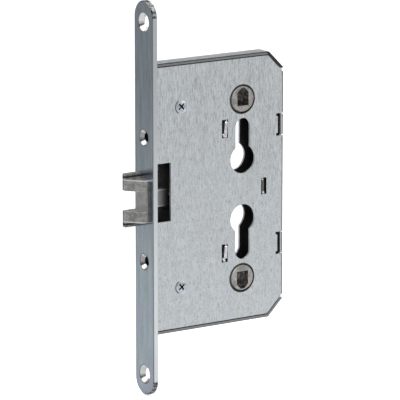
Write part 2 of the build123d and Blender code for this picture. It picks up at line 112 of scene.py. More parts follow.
# ---- node helpers ---------------------------------------------------------------------------
class Tree:
    """A thin wrapper that makes and joins shader nodes in one tree."""

    def __init__(self, tree):
        self.tree = tree

    def node(self, kind, **settings):
        made = self.tree.nodes.new(kind)
        for key, value in settings.items():
            setattr(made, key, value)
        return made

    def join(self, source, target):
        self.tree.links.new(source, target)

    def feed(self, socket, value):
        """Joins a socket to another socket, or sets its constant."""
        if isinstance(value, bpy.types.NodeSocket):
            self.join(value, socket)
        else:
            socket.default_value = value

    def math(self, operation, a, b=0.0):
        made = self.node("ShaderNodeMath", operation=operation)
        self.feed(made.inputs[0], a)
        self.feed(made.inputs[1], b)
        return made.outputs[0]

    def product(self, *values):
        """All the values multiplied."""
        total = values[0]
        for value in values[1:]:
            total = self.math("MULTIPLY", total, value)
        return total

    def below(self, value, limit):
        return self.math("LESS_THAN", value, limit)

    def above(self, value, limit):
        return self.math("GREATER_THAN", value, limit)

    def off(self, value, centre):
        """How far a value is from a centre, either way."""
        return self.math("ABSOLUTE", self.math("SUBTRACT", value, centre))

    def length(self, a, b):
        """The length of a flat vector."""
        return self.math("SQRT", self.math("ADD", self.product(a, a), self.product(b, b)))

    def ramp(self, value, low, high, to_low=0.0, to_high=1.0):
        """Maps low..high to to_low..to_high on a soft step, and keeps the end values outside."""
        made = self.node("ShaderNodeMapRange", interpolation_type="SMOOTHSTEP")
        for name, given in (("Value", value), ("From Min", low), ("From Max", high),
                            ("To Min", to_low), ("To Max", to_high)):
            self.feed(made.inputs[name], given)
        return made.outputs["Result"]

    def line(self, value, centre, outer, inner):
        """1 within inner of the centre, falling to 0 at outer."""
        return self.ramp(self.off(value, centre), outer, inner)

    def band(self, value, start, full, fade, end):
        """1 between full and fade, falling to 0 at start and end."""
        return self.product(self.ramp(value, start, full), self.ramp(value, end, fade))

    def mix(self, share, a, b):
        made = self.node("ShaderNodeMix", data_type="RGBA")
        self.feed(made.inputs["Factor"], share)
        self.feed(made.inputs["A"], a)
        self.feed(made.inputs["B"], b)
        return made.outputs["Result"]

    def here(self):
        """The object's own coordinates: the vector, then x, y and z."""
        place = self.node("ShaderNodeTexCoord").outputs["Object"]
        axes = self.node("ShaderNodeSeparateXYZ")
        self.join(place, axes.inputs[0])
        return place, *axes.outputs

    def stretched(self, coordinates, scale):
        """Object coordinates multiplied along X, Y and Z."""
        made = self.node("ShaderNodeMapping")
        self.join(coordinates, made.inputs["Vector"])
        made.inputs["Scale"].default_value = scale
        return made.outputs["Vector"]

    def noise(self, vector, scale=1.0, detail=2.0, roughness=0.5, distortion=0.0):
        made = self.node("ShaderNodeTexNoise")
        self.join(vector, made.inputs["Vector"])
        for name, given in (("Scale", scale), ("Detail", detail), ("Roughness", roughness),
                            ("Distortion", distortion)):
            made.inputs[name].default_value = given
        return made.outputs["Fac"]


def new_group(name, inputs, outputs):
    """An empty shader node group: its wrapper, its inputs, the sockets to fill and its tree."""
    tree = bpy.data.node_groups.new(name, "ShaderNodeTree")
    for label, default in inputs.items():
        socket = tree.interface.new_socket(label, in_out="INPUT", socket_type="NodeSocketFloat")
        socket.default_value = default
    for label in outputs:
        tree.interface.new_socket(label, in_out="OUTPUT", socket_type="NodeSocketFloat")
    wrapper = Tree(tree)
    entry = wrapper.node("NodeGroupInput")
    leave = wrapper.node("NodeGroupOutput")
    return wrapper, entry.outputs, leave.inputs, tree


def placed_group(t, tree, **values):
    made = t.node("ShaderNodeGroup", node_tree=tree)
    for name, value in values.items():
        made.inputs[name].default_value = value
    return made.outputs


def edge_wear_and_highlight_group():
    """How bright a spot at an edge is, for rubbing and for a painted highlight: the turn between the true
    normal and one rounded over nearby edges, broken up by fine noise so that the bright rim is uneven."""
    flat, sharp = 0.995, 0.80
    t, given, out, tree = new_group("edge_wear_and_highlight", {"Radius": 0.5 * MM, "Amount": 1.0}, ["Worn"])
    rounded = t.node("ShaderNodeBevel", samples=4)
    t.join(given["Radius"], rounded.inputs["Radius"])
    true = t.node("ShaderNodeNewGeometry")
    dot = t.node("ShaderNodeVectorMath", operation="DOT_PRODUCT")
    t.join(rounded.outputs["Normal"], dot.inputs[0])
    t.join(true.outputs["Normal"], dot.inputs[1])
    turn = t.ramp(dot.outputs["Value"], flat, sharp)
    place = t.node("ShaderNodeTexCoord").outputs["Object"]
    patchy = t.ramp(t.noise(place, scale=900.0), 0.25, 0.7, 0.35, 1.0)
    t.join(t.product(turn, patchy, given["Amount"]), out["Worn"])
    return tree


def rolled_grain_group():
    """Sheet rolled along Z: fine lines, long soft streaks, clouds in the plating and a few
    dark specks. Each is about 0 to 1 with its middle near 0.5."""
    t, given, out, tree = new_group("rolled_grain", {"Shift": 0.0},
                                    ["Lines", "Streaks", "Clouds", "Specks"])
    place = t.node("ShaderNodeTexCoord").outputs["Object"]
    moved = t.node("ShaderNodeVectorMath", operation="ADD")
    offset = t.node("ShaderNodeCombineXYZ")
    t.join(place, moved.inputs[0])
    t.join(given["Shift"], offset.inputs["X"])
    t.join(given["Shift"], offset.inputs["Z"])
    t.join(offset.outputs["Vector"], moved.inputs[1])
    spot = moved.outputs["Vector"]
    lines = t.noise(t.stretched(spot, (1900, 1900, 110)), detail=3.0, roughness=0.65)
    streaks = t.noise(t.stretched(spot, (420, 420, 34)), detail=3.0, roughness=0.6)
    clouds = t.noise(t.stretched(spot, (70, 70, 38)), detail=4.0, roughness=0.55, distortion=0.6)
    specks = t.noise(t.stretched(spot, (900, 900, 420)), roughness=0.7)
    t.join(lines, out["Lines"])
    t.join(streaks, out["Streaks"])
    t.join(clouds, out["Clouds"])
    t.join(t.ramp(specks, 0.70, 0.78), out["Specks"])
    return tree


def short_scratches_group():
    """Upright nicks, a fine tooth and blotches, as on tumbled and plated sheet. The nicks
    are 0 to 1, the others about 0.5."""
    t, given, out, tree = new_group("short_scratches", {}, ["Nicks", "Tooth", "Blotch"])
    place = t.node("ShaderNodeTexCoord").outputs["Object"]
    nicks = t.noise(t.stretched(place, (1600, 1600, 240)), roughness=0.6)
    tooth = t.noise(t.stretched(place, (2600, 2600, 1100)), roughness=0.7)
    blotch = t.noise(t.stretched(place, (330, 330, 210)), detail=3.0, roughness=0.6, distortion=0.8)
    t.join(t.ramp(nicks, 0.53, 0.68), out["Nicks"])
    t.join(tooth, out["Tooth"])
    t.join(blotch, out["Blotch"])
    return tree


def sinter_group():
    """Pressed and sintered powder: a coarse mottle, fine grains and small pores."""
    t, given, out, tree = new_group("sinter", {"Scale": 1.0}, ["Mottle", "Grains", "Pores"])
    place = t.node("ShaderNodeTexCoord").outputs["Object"]
    grown = t.node("ShaderNodeVectorMath", operation="SCALE")
    t.join(place, grown.inputs[0])
    t.join(given["Scale"], grown.inputs["Scale"])
    spot = grown.outputs["Vector"]
    t.join(t.noise(spot, scale=330.0, detail=3.0, roughness=0.6), out["Mottle"])
    t.join(t.noise(spot, scale=1500.0, detail=3.0, roughness=0.75), out["Grains"])
    t.join(t.ramp(t.noise(spot, scale=1100.0, detail=1.0), 0.68, 0.76), out["Pores"])
    return tree


def case_masks_group():
    """Parts of the case. Inside: 1 between the two sheets, within the walls and the two
    slanted corners. Gap: 1 in the gap beside the cover, on the upper slanted rim and along
    the cover's rear edge. Rim: 1 on the other sheared rims. Outer: 1 on a line at their edge."""
    gap_reach = 1.2 * MM
    edge_from, edge_to = 0.55 * MM, 0.20 * MM
    t, given, out, tree = new_group("case_masks", {"Line": 0.45 * MM},
                                    ["Inside", "Gap", "Rim", "Outer"])
    place, x, y, z = t.here()
    up = t.math("ABSOLUTE", z)
    diagonal = t.math("ADD", x, up)
    between = t.below(t.math("ABSOLUTE", y), INNER_HALF_Y)
    below_rim = t.below(up, INNER_HALF_Z + SKIN)
    before_rear = t.below(x, INNER_REAR_X)
    within = t.below(diagonal, INNER_SLANT + SKIN)
    t.join(t.product(between, below_rim, before_rear, within), out["Inside"])
    front = t.below(y, -INNER_HALF_Y)
    level = t.above(up, INNER_HALF_Z - SKIN)
    slanted = t.above(diagonal, INNER_SLANT - SKIN)
    upper = t.above(z, 0.0)
    low_face = t.below(y, -OUT_Y + SKIN)
    beside = t.product(t.math("SUBTRACT", 1.0, low_face), t.above(up, INNER_HALF_Z - gap_reach))
    rear = t.above(t.math("ADD", x, given["Line"]), BASE_HIGH[0])
    dark_rim = t.product(t.math("MAXIMUM", t.product(slanted, upper), rear), low_face)
    t.join(t.product(t.math("MAXIMUM", dark_rim, beside), front), out["Gap"])
    lower = t.product(slanted, t.math("SUBTRACT", 1.0, upper))
    t.join(t.product(t.math("MAXIMUM", level, lower), low_face, front), out["Rim"])
    outer = t.ramp(up, BASE_HIGH[2] - edge_from, BASE_HIGH[2] - edge_to)
    t.join(t.product(outer, front), out["Outer"])
    return tree


def ring_group():
    """How near a spot is to the edge of one of two round things on the lock, one above and
    one below the middle: 1 at the stated radius, 0 a width away. Hole: 1 within the radius."""
    full_share = 0.3
    t, given, out, tree = new_group(
        "ring", {"Centre X": BACKSET, "Centre Z": NUT_Z, "Radius": 8.0 * MM, "Width": 0.4 * MM},
        ["Ring", "Hole"])
    place, x, y, z = t.here()
    across = t.math("SUBTRACT", x, given["Centre X"])
    up = t.math("SUBTRACT", t.math("ABSOLUTE", z), given["Centre Z"])
    far = t.length(across, up)
    share = t.math("DIVIDE", t.off(far, given["Radius"]), given["Width"])
    t.join(t.ramp(share, 1.0, full_share), out["Ring"])
    t.join(t.below(far, given["Radius"]), out["Hole"])
    return tree


EDGE_WEAR_AND_HIGHLIGHT = edge_wear_and_highlight_group()
ROLLED_GRAIN = rolled_grain_group()
SHORT_SCRATCHES = short_scratches_group()
SINTER = sinter_group()
CASE_MASKS = case_masks_group()
RING = ring_group()


def ring_at(t, centre_x, centre_z, radius, width):
    """The ring group set for a round thing above and below the lock's middle."""
    return placed_group(t, RING, **{"Centre X": centre_x, "Centre Z": centre_z,
                                    "Radius": radius, "Width": width})


# ---- finishes -----------------------------------------------------------------------------------
TINT = (0.95, 1.0, 1.022)


def start_material(name):
    """A material with a wrapped tree and its Principled shader."""
    material = bpy.data.materials.new(name)
    material.use_nodes = True
    material.node_tree.nodes.clear()
    t = Tree(material.node_tree)
    shader = t.node("ShaderNodeBsdfPrincipled")
    output = t.node("ShaderNodeOutputMaterial")
    t.join(shader.outputs["BSDF"], output.inputs["Surface"])
    return material, t, shader.inputs


def grey(value, tint=(1.0, 1.0, 1.0)):
    return (value * tint[0], value * tint[1], value * tint[2], 1.0)


def add_bump(t, shader, height, distance):
    bump = t.node("ShaderNodeBump")
    bump.inputs["Strength"].default_value = 1.0
    bump.inputs["Distance"].default_value = distance
    t.join(height, bump.inputs["Height"])
    t.join(bump.outputs["Normal"], shader["Normal"])


def rolled_zinc(name, light, dark, rough, shift=0.0, tint=TINT, clouds=(0.97, 0.98, 1.06),
                streaks=0.3, nicks=0.55, tooth=0.5, depth=0.014 * MM, finish=None):
    """Zinc over rolled sheet: soft streaks, cloudy tints, short nicks and bright edges, which stand for
    rubbing and a painted highlight. A finish function may add its own places before the colour is used."""
    material, t, shader = start_material(name)
    grain = placed_group(t, ROLLED_GRAIN, Shift=shift)
    marks = placed_group(t, SHORT_SCRATCHES)
    worn_and_lit = placed_group(t, EDGE_WEAR_AND_HIGHLIGHT, Radius=0.35 * MM, Amount=0.7)["Worn"]
    cloud_tint = tuple(a * b for a, b in zip(tint, clouds))
    streak = t.ramp(grain["Streaks"], 0.30, 0.70, 0.5 - streaks, 0.5 + streaks)
    colour = t.mix(streak, grey(dark, tint), grey(light, tint))
    cloud = t.ramp(grain["Clouds"], 0.44, 0.66, 0.0, 0.8)
    colour = t.mix(cloud, colour, grey((light + dark) / 2, cloud_tint))
    blotch = t.ramp(marks["Blotch"], 0.35, 0.65, 0.0, tooth)
    colour = t.mix(blotch, colour, grey(dark * 0.84, tint))
    colour = t.mix(t.product(marks["Nicks"], nicks), colour, grey(dark * 0.62, tint))
    raised = t.ramp(marks["Tooth"], 0.42, 0.62, 0.0, tooth)
    colour = t.mix(raised, colour, grey(light * 1.22, tint))
    colour = t.mix(t.product(grain["Specks"], 0.35), colour, grey(dark * 0.55, tint))
    # Paler edges: rubbing and a painted highlight.
    colour = t.mix(worn_and_lit, colour, grey(min(light * 1.35, 0.95)))
    if finish:
        colour = finish(t, colour)
    t.join(colour, shader["Base Color"])
    shader["Metallic"].default_value = 1.0
    fine_roughness = t.ramp(grain["Lines"], 0.2, 0.8, rough - 0.05, rough + 0.06)
    cloud_roughness = t.ramp(grain["Clouds"], 0.3, 0.7, -0.03, 0.03)
    t.join(t.math("ADD", fine_roughness, cloud_roughness), shader["Roughness"])
    height = t.math("SUBTRACT", t.math("ADD", grain["Lines"], marks["Tooth"]), marks["Nicks"])
    add_bump(t, shader, height, depth)
    return material


def slot_walls(t, x, y, z):
    """1 on the walls of the two tall slots and the spacer's slot, below the outer faces."""
    up = t.math("ABSOLUTE", z)
    found = []
    for centre_x, centre_z, half in ((GUIDE_SLOT_X, GUIDE_Z, GUIDE_SLOT_HALF),
                                     (SPACER_SLOT_X, 0.0, SPACER_SLOT_HALF)):
        found.append(t.product(t.below(t.off(x, centre_x), half[0]),
                               t.below(t.off(up, centre_z), half[1])))
    return t.product(t.math("MAXIMUM", found[0], found[1]),
                     t.below(t.math("ABSOLUTE", y), OUT_Y - SKIN))


def upright_scores(t, colour, place, z):
    """Fine upright lines, dark and pale, that fade out down the cover."""
    dark_from, dark_to, pale_from = -20.0 * MM, 60.0 * MM, -60.0 * MM
    scored = t.ramp(t.noise(t.stretched(place, (1500, 1500, 170))), 0.54, 0.66)
    share = t.product(scored, t.ramp(z, dark_from, dark_to, 0.0, 0.60))
    colour = t.mix(share, colour, grey(0.45, TINT))
    pale = t.ramp(t.noise(t.stretched(place, (1400, 1400, 140))), 0.46, 0.36)
    share = t.product(pale, t.ramp(z, pale_from, dark_to, 0.1, 0.55))
    return t.mix(share, colour, grey(0.97, TINT))


def case_places(t, colour):
    """Painted shade darkens the case inside, beside its cover, on its upper slanted rim and along its rear
    edge, round each spindle nut, at the left of each cover screw and on its slot walls. Its sheared rim is
    grey between two dark lines of painted shade, and its upper half is more scored by fine upright lines
    than its lower half."""
    place, x, y, z = t.here()
    masks = placed_group(t, CASE_MASKS, Line=0.60 * MM)
    colour = upright_scores(t, colour, place, z)
    # Painted shade in the gap round each spindle nut.
    nut = ring_at(t, BACKSET - 0.50 * MM, NUT_Z, 8.30 * MM, 0.95 * MM)
    colour = t.mix(t.product(nut["Ring"], 0.95), colour, grey(0.02))
    # Painted shadow at the left of each cover screw's head.
    screw = ring_at(t, SCREW_X - 0.15 * MM, SCREW_Z, 4.00 * MM, 0.55 * MM)
    left = t.product(t.ramp(x, SCREW_X - 1.6 * MM, SCREW_X - 2.6 * MM), t.below(y, 0.0))
    colour = t.mix(t.product(screw["Ring"], left, 0.9), colour, grey(0.06))
    # Painted shade on the walls of the slots.
    colour = t.mix(t.product(slot_walls(t, x, y, z), 0.95), colour, grey(0.03))
    colour = t.mix(t.product(masks["Rim"], 0.85), colour, grey(0.26))
    # Painted shade: a dark line at the case's outer edge.
    colour = t.mix(t.product(masks["Outer"], 0.85), colour, grey(0.08))
    # Painted shade in the gap beside the cover, on the upper slanted rim and along the rear edge.
    colour = t.mix(t.product(masks["Gap"], 0.94), colour, grey(0.035))
    # Painted shade inside the case.
    return t.mix(masks["Inside"], colour, grey(0.15))


def painted_shade_between_sheets(t, colour):
    """Painted shade darkens what lies below the outer faces, so only the ends of tabs are bright."""
    place, x, y, z = t.here()
    deep = t.ramp(t.math("ABSOLUTE", y), OUT_Y - 0.15 * MM, OUT_Y - 0.35 * MM)
    return t.mix(deep, colour, grey(0.20))


def forend_places(t, colour):
    """Painted light makes the forend's sides paler than its face; its round ends are blotched dark grey, a
    line of painted shade follows its outline, and its countersinks carry painted highlights, brightest at
    their top and bottom, within a dark ring of painted shade."""
    place, x, y, z = t.here()
    height = t.math("ABSOLUTE", z)
    past = t.math("MAXIMUM", t.math("SUBTRACT", height, FOREND_ROUND_Z), 0.0)
    out_by = t.length(past, y)
    # Painted shade along the outline of the face.
    line = t.ramp(out_by, FOREND_HALF_Y - 0.8 * MM, FOREND_HALF_Y - 0.3 * MM, 0.0, 0.7)
    colour = t.mix(line, colour, grey(0.12))
    # Painted light: the sides are paler than the face.
    side = t.ramp(x, 0.2 * MM, 0.5 * MM)
    colour = t.mix(side, colour, grey(0.95, (0.95, 1.0, 1.03)))
    blotch = t.ramp(t.noise(place, scale=650.0, detail=3.0, roughness=0.7), 0.42, 0.58, 0.03, 0.42)
    blotched_end = t.product(t.ramp(past, 0.0, 1.2 * MM), t.above(out_by, FOREND_HALF_Y - 0.6 * MM))
    colour = t.mix(t.product(blotched_end, 0.95), colour, blotch)
    deep = t.above(x, 0.03 * MM)
    for centre, radius, flank in ((END_Z, 5.6 * MM, 0.85), (FIXING_Z, 4.8 * MM, 0.42)):
        up = t.math("SUBTRACT", height, centre)
        far = t.length(y, up)
        steepness = t.math("ABSOLUTE", t.math("DIVIDE", up, far))
        # Painted highlights in each countersink, brightest at its top and bottom.
        painted_highlight = t.ramp(steepness, 0.55, 0.85, flank, 0.95)
        colour = t.mix(t.product(t.below(far, radius), deep), colour, painted_highlight)
        # Painted shade: a dark ring round each countersink.
        outline = t.line(far, radius + 0.1 * MM, 0.4 * MM, 0.1 * MM)
        colour = t.mix(t.product(outline, 0.6), colour, grey(0.06))
    return colour


def sintered(name, light, dark, rough, scale=1.0, wear_and_highlight=0.6, depth=0.06 * MM, tint=(1.0, 1.0, 0.98),
             metal=0.85, rubbed_and_lit=0.5 * MM, finish=None):
    """Matt powder metal: mottled grey with grains and pores, paler at the edges
    for rubbing and a painted highlight.
    """
    material, t, shader = start_material(name)
    made = placed_group(t, SINTER, Scale=scale)
    worn_and_lit = placed_group(t, EDGE_WEAR_AND_HIGHLIGHT, Radius=rubbed_and_lit, Amount=wear_and_highlight)["Worn"]
    colour = t.mix(t.ramp(made["Mottle"], 0.35, 0.65), grey(dark, tint), grey(light, tint))
    colour = t.mix(t.ramp(made["Grains"], 0.35, 0.75, 0.0, 0.5), colour, grey(dark * 0.7, tint))
    colour = t.mix(t.product(made["Pores"], 0.6), colour, grey(dark * 0.3, tint))
    # Paler edges: rubbing and a painted highlight.
    colour = t.mix(worn_and_lit, colour, grey(min(light * 2.0, 0.9), tint))
    if finish:
        colour = finish(t, colour)
    t.join(colour, shader["Base Color"])
    shader["Metallic"].default_value = metal
    t.join(t.ramp(made["Grains"], 0.3, 0.8, rough - 0.06, rough + 0.10), shader["Roughness"])
    add_bump(t, shader, t.math("SUBTRACT", made["Grains"], made["Pores"]), depth)
    return material


def greasy_shaded_nut(t, colour):
    """The nut is dark in its square hole, greasy there and in painted shade, and painted shade darkens its
    rim.
    """
    place, x, y, z = t.here()
    rim = ring_at(t, BACKSET - 0.2 * MM, NUT_Z, 8.1 * MM, 0.7 * MM)
    hole = ring_at(t, BACKSET, NUT_Z, 7.1 * MM, 0.4 * MM)
    deep = t.below(t.math("ABSOLUTE", y), OUT_Y - 0.10 * MM)
    smear = t.ramp(t.noise(place, scale=420.0, detail=4.0, roughness=0.7), 0.42, 0.68)
    grease_and_shade = t.mix(smear, grey(0.035, (1.05, 0.90, 0.80)), grey(0.30, (1.0, 0.93, 0.83)))
    # Greasy dark and painted shade inside the square hole.
    colour = t.mix(t.product(hole["Hole"], deep), colour, grease_and_shade)
    # Painted shade round the nut's rim.
    return t.mix(t.product(rim["Ring"], 0.75), colour, grey(0.05))


def latch_places(t, colour):
    """The latch head: painted highlights at the edges of its tail, with painted shade darkening it
    inwards;
    painted light making it paler in the notch; painted shade darkening its near side; a line of painted
    shade and a painted highlight line along the upper and lower ends of its bevel."""
    place, x, y, z = t.here()
    up = t.math("ABSOLUTE", z)
    side_from, side_to = LATCH_NEAR_Y + 1.3 * MM, LATCH_NEAR_Y + 0.3 * MM
    # Painted light: the notch's floor is paler.
    in_notch = t.product(t.ramp(up, NOTCH_HALF_Z + 0.2 * MM, NOTCH_HALF_Z - 0.2 * MM),
                         t.ramp(y, side_to, side_from, 0.0, 0.55),
                         t.ramp(x, NOTCH_FLOOR_X + 1.0 * MM, NOTCH_FLOOR_X + 0.2 * MM))
    colour = t.mix(in_notch, colour, grey(0.66))
    # Painted shade on the near side.
    near_side = t.product(t.ramp(y, side_from, side_to),
                          t.ramp(x, LATCH_RIDGE_X + 0.1 * MM, LATCH_RIDGE_X + 0.5 * MM), 0.6)
    colour = t.mix(near_side, colour, grey(0.12))
    # Painted highlight along the upper and lower ends of the bevel.
    bright = t.line(up, LATCH_BODY_HALF_Z - 0.6 * MM, 0.45 * MM, 0.15 * MM)
    colour = t.mix(t.product(bright, 0.85), colour, grey(0.85))
    # Painted shade: a dark line beyond them.
    black = t.line(up, LATCH_BODY_HALF_Z + 1.1 * MM, 0.8 * MM, 0.4 * MM)
    colour = t.mix(t.product(black, 0.9), colour, grey(0.03))
    # Painted highlights at the tail's upper and lower edges, with painted shade darkening it inwards.
    behind = t.ramp(x, LATCH_REAR_X - 0.1 * MM, LATCH_REAR_X + 0.4 * MM)
    tail = t.product(t.ramp(up, 4.2 * MM, 4.9 * MM, 0.42, 0.90), t.ramp(x, 8.0 * MM, 16.0 * MM, 1.0, 0.08))
    return t.mix(behind, colour, tail)


def painted_shade_recess(t, colour):
    """Painted shade darkens the bottom of the screw's cross recess."""
    place, x, y, z = t.here()
    return t.mix(t.ramp(y, -OUT_Y + 0.10 * MM, -OUT_Y + 0.55 * MM), colour, grey(0.05))


def wire_steel(name):
    """Drawn spring wire: dull bright steel with a faint mottle."""
    material, t, shader = start_material(name)
    made = placed_group(t, SINTER, Scale=1.6)
    colour = t.mix(t.ramp(made["Mottle"], 0.3, 0.7), grey(0.30), grey(0.46, (0.98, 1.0, 1.02)))
    t.join(colour, shader["Base Color"])
    shader["Metallic"].default_value = 1.0
    t.join(t.ramp(made["Grains"], 0.2, 0.8, 0.28, 0.40), shader["Roughness"])
    return material


BY_SLOT = {
    "zinc_forend": rolled_zinc("zinc_forend", light=0.64, dark=0.46, rough=0.18, shift=3.0,
                               tint=(0.78, 0.92, 1.0), clouds=(1.10, 0.95, 1.10), streaks=0.5,
                               nicks=0.15, tooth=0.12, depth=0.004 * MM, finish=forend_places),
    "zinc_case": rolled_zinc("zinc_case", light=0.84, dark=0.69, rough=0.42,
                             clouds=(0.97, 0.985, 1.045), nicks=0.9, finish=case_places),
    "zinc_bright": rolled_zinc("zinc_bright", light=0.99, dark=0.94, rough=0.24, shift=7.0,
                               tint=(1.0, 1.0, 1.0), nicks=0.1, tooth=0.1, finish=painted_shade_between_sheets),
    "zinc_screw": rolled_zinc("zinc_screw", light=0.80, dark=0.66, rough=0.20, shift=11.0,
                              tint=(0.90, 0.98, 1.06), nicks=0.1, finish=painted_shade_recess),
    "sintered_steel": sintered("sintered_steel", light=0.46, dark=0.26, rough=0.60, wear_and_highlight=1.0,
                               metal=0.75, rubbed_and_lit=0.8 * MM, finish=latch_places),
    "cast_nut": sintered("cast_nut", light=0.62, dark=0.38, rough=0.42, scale=0.8,
                         tint=(1.0, 0.965, 0.92), finish=greasy_shaded_nut),
    "spring_steel": wire_steel("spring_steel"),
    # Oiled steel inside the case: its dark grey is partly oil and partly painted shade.
    "oiled_steel": sintered("oiled_steel", light=0.24, dark=0.14, rough=0.35, scale=0.7, wear_and_highlight=0.5,
                            depth=0.02 * MM),
}


def dress_cad_nodes():
    """Each CAD node gets the finish of its slot in the record."""
    for entry in frame["record"]["subparts"]:
        node = NODES[entry["node"]]
        node.data.materials.clear()
        node.data.materials.append(BY_SLOT[entry["material_slot"]])


# ---- new pieces: surfaces worked out as arrays ---------------------------------------------------
def surface(name, points, caps):
    """A mesh object from a grid of points, rows by columns by 3. Rows join to the next row,
    and the last column joins to the first. caps names the end rows, 0 or -1, that are closed
    with one face each."""
    weld = 1e-7
    rows, columns = points.shape[:2]
    index = np.arange(rows * columns).reshape(rows, columns)
    this_row, next_row = index[:-1], index[1:]
    next_column = np.roll(this_row, -1, axis=1)
    next_both = np.roll(next_row, -1, axis=1)
    faces = np.stack([this_row, next_column, next_both, next_row], axis=-1).reshape(-1, 4).tolist()
    for row in caps:
        ring = index[row].tolist()
        faces.append(ring[::-1] if row == 0 else ring)
    mesh = bpy.data.meshes.new(name)
    mesh.from_pydata(points.reshape(-1, 3).tolist(), [], faces)
    mesh.update()
    shell = bmesh.new()
    shell.from_mesh(mesh)
    bmesh.ops.remove_doubles(shell, verts=shell.verts, dist=weld)
    bmesh.ops.recalc_face_normals(shell, faces=shell.faces)
    shell.to_mesh(mesh)
    shell.free()
    mesh.polygons.foreach_set("use_smooth", np.ones(len(mesh.polygons), dtype=bool))
    made = bpy.data.objects.new(name, mesh)
    bpy.context.scene.collection.objects.link(made)
    return made


def finished(piece, body, slot, *nodes):
    """Rides a piece on a body, gives it its finish and hides the CAD nodes it stands for."""
    piece.data.materials.append(BY_SLOT[slot])
    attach(piece, body)
    if nodes:
        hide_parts(*nodes)
    return piece


def coil(name, x_range, centre_y, centre_z, radius, wire, turns):
    """A compression spring along X with closed ends. The wire's centre runs round a circle:
    the angle grows evenly, while x climbs by one wire in the first turn and in the last and
    evenly between them, and each cross-section is a circle square to that path."""
    closed, even_rise, steps_per_turn, facets = 1.0, 0.02, 40, 12
    steps = turns * steps_per_turn
    share = np.linspace(0.0, 1.0, steps + 1)
    turn = share * turns
    rise = np.clip((turn - closed) / (turns - 2 * closed), 0.0, 1.0)
    rise = rise * (1 - even_rise) + even_rise * share
    low, high = x_range[0] + wire / 2, x_range[1] - wire / 2
    lift = np.clip(turn, 0, closed) * wire + np.clip(turn - (turns - closed), 0, closed) * wire
    x = low + lift + rise * (high - low - 2 * closed * wire)
    angle = 2 * np.pi * turn
    path = np.stack([x, centre_y + radius * np.cos(angle), centre_z + radius * np.sin(angle)],
                    axis=1)
    along = np.gradient(path, axis=0)
    along /= np.linalg.norm(along, axis=1, keepdims=True)
    outward = np.stack([np.zeros_like(angle), np.cos(angle), np.sin(angle)], axis=1)
    outward -= along * np.sum(outward * along, axis=1, keepdims=True)
    outward /= np.linalg.norm(outward, axis=1, keepdims=True)
    sideways = np.cross(along, outward)
    around = np.linspace(0, 2 * np.pi, facets, endpoint=False)
    ring = (np.cos(around)[None, :, None] * outward[:, None, :]
            + np.sin(around)[None, :, None] * sideways[:, None, :])
    points = path[:, None, :] + ring * wire / 2
    return surface(name, points, caps=(0, -1))


def springs():
    """The latch spring and the two return springs, made at their rest length; the latch going in would
    shorten them. Each is a coil: see there for its formula."""
    radius = 2.1 * MM
    fits = (("latch_spring", "latch_spring_coil", 0.8 * MM, 12, LATCH_SPRING_KEEP),
            ("upper_return_spring", "upper_return_coil", 0.7 * MM, 9, RETURN_SPRING_KEEP),
            ("lower_return_spring", "lower_return_coil", 0.7 * MM, 9, RETURN_SPRING_KEEP))
    for node, name, wire, turns, keep in fits:
        low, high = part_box(node)
        centre = [(low[axis] + high[axis]) / 2 for axis in range(3)]
        made = coil(name, (low[0], high[0]), centre[1], centre[2], radius, wire, turns)
        finished(made, "case", "spring_steel", node)
        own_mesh(made)


def cross_groove(length, width, arm, half_width):
    """1 in one slot of the cross and 0 outside it. The walls slope over a short way, and the
    slot is narrower and shallower towards its ends."""
    end_slope, wall_slope = 0.8 * MM, 0.13 * MM
    reach = np.clip((arm - np.abs(length)) / end_slope, 0, 1)
    room = half_width * (0.55 + 0.45 * reach) - np.abs(width)
    return reach ** 0.6 * np.clip(room / wall_slope + 0.5, 0, 1)


def cover_screws():
    """Raised countersunk screws. From the middle outwards the head is a shallow dome less a
    cross recess, whose four arms taper in depth and width; then it turns over its rim, down
    the cone and along the shank to a flat end."""
    head_r, dome, dome_sink, rim_drop = 3.68 * MM, 0.42 * MM, 0.10 * MM, 0.12 * MM
    recess, arm, half_width = 1.5 * MM, 2.55 * MM, 0.50 * MM
    rim_depth, cone_depth, shank_top, tip_length = 0.25 * MM, 1.5 * MM, 1.55 * MM, 0.3 * MM
    neck_r, shank_r, tip_r = head_r - 1.35 * MM, 2.0 * MM, 1.7 * MM
    facets, rings, crowding = 144, 56, 0.8
    for word, turned in (("upper", 45.0), ("lower", 38.0)):
        node = f"{word}_cover_screw"
        low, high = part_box(node)
        centre_x, centre_z = (low[0] + high[0]) / 2, (low[2] + high[2]) / 2
        face_y, end_y = low[1], high[1]
        angle = np.linspace(0, 2 * np.pi, facets, endpoint=False)[None, :]
        radius = (head_r * np.linspace(0.0, 1.0, rings) ** crowding)[:, None]
        across, up = radius * np.cos(angle), radius * np.sin(angle)
        height = dome * (1 - (radius / head_r) ** 2) - dome_sink
        height = height - rim_drop * np.clip((radius / head_r - 0.9) / 0.1, 0, 1) ** 2
        tilt = math.radians(turned)
        one = across * math.cos(tilt) + up * math.sin(tilt)
        two = -across * math.sin(tilt) + up * math.cos(tilt)
        depth = recess * np.maximum(cross_groove(one, two, arm, half_width),
                                    cross_groove(two, one, arm, half_width))
        top = np.stack([centre_x + across, face_y - height + depth, centre_z + up], axis=-1)
        profile = [(head_r, face_y + rim_depth), (neck_r, face_y + cone_depth),
                   (shank_r, face_y + shank_top), (shank_r, end_y - tip_length), (tip_r, end_y)]
        rows = [np.stack([centre_x + r * np.cos(angle[0]), np.full(angle.shape[1], y),
                          centre_z + r * np.sin(angle[0])], axis=-1) for r, y in profile]
        points = np.concatenate([top, np.stack(rows)], axis=0)
        made = surface(f"{word}_cross_screw", points, caps=(-1,))
        finished(made, "case", "zinc_screw", node)


